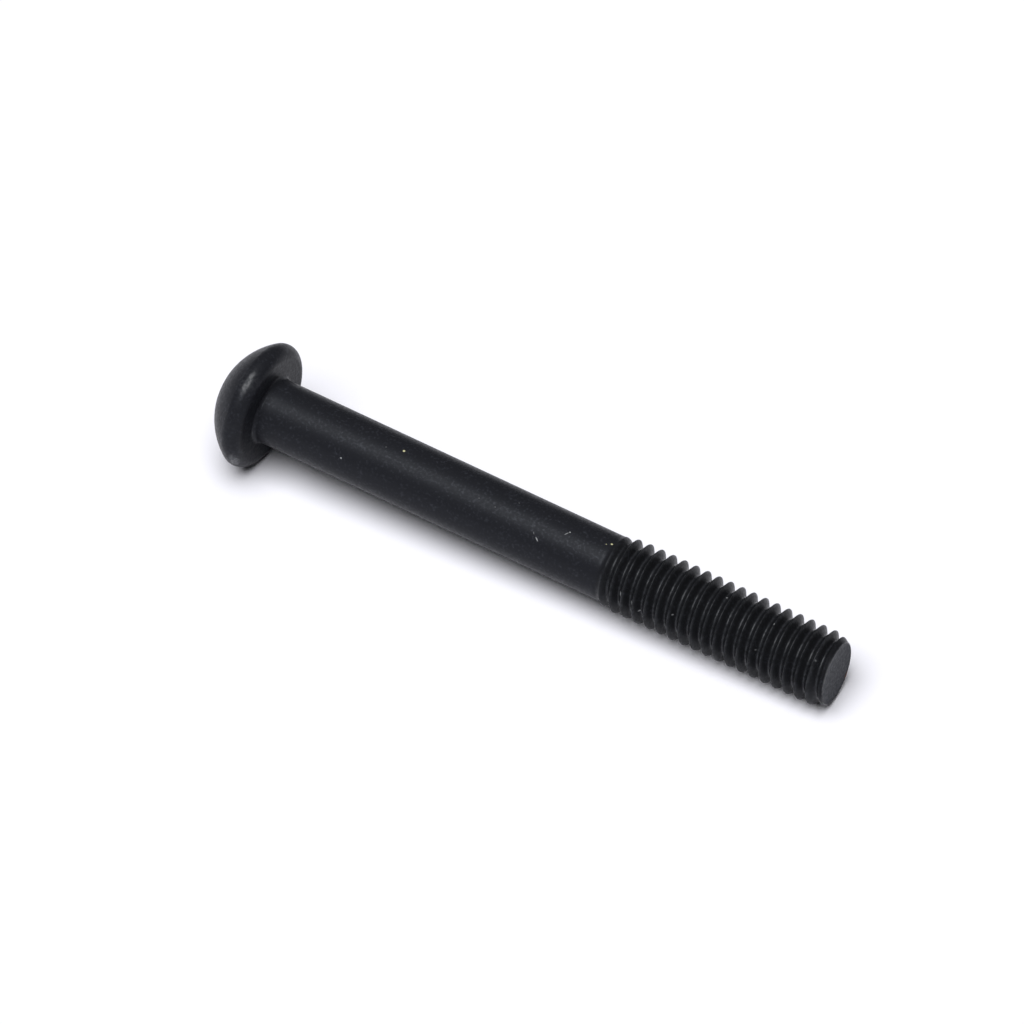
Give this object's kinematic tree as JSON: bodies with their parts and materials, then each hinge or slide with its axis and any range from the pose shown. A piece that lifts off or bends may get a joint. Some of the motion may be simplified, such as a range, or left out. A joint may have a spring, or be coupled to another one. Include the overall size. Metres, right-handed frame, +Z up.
{
  "type": "machine screw",
  "caption": "Dark steel machine screw with a domed head, a hexagon socket, a long plain shank and a rolled right-hand thread at the tip, lying at rest.",
  "frame": {"origin": "centre of the bounding box on the surface that the screw lies on", "axes": "+X along the screw towards its tip, which dips by 2.3 degrees because the head is wider than the thread; +Z up; +Y to the left of the tip's direction"},
  "size_m": [0.0534, 0.01, 0.01],
  "materials": {
    "black_steel": "black oxide, satin, finely mottled"
  },
  "bodies": {
    "root": {"screw": "black_steel"}
  },
  "joints": []
}
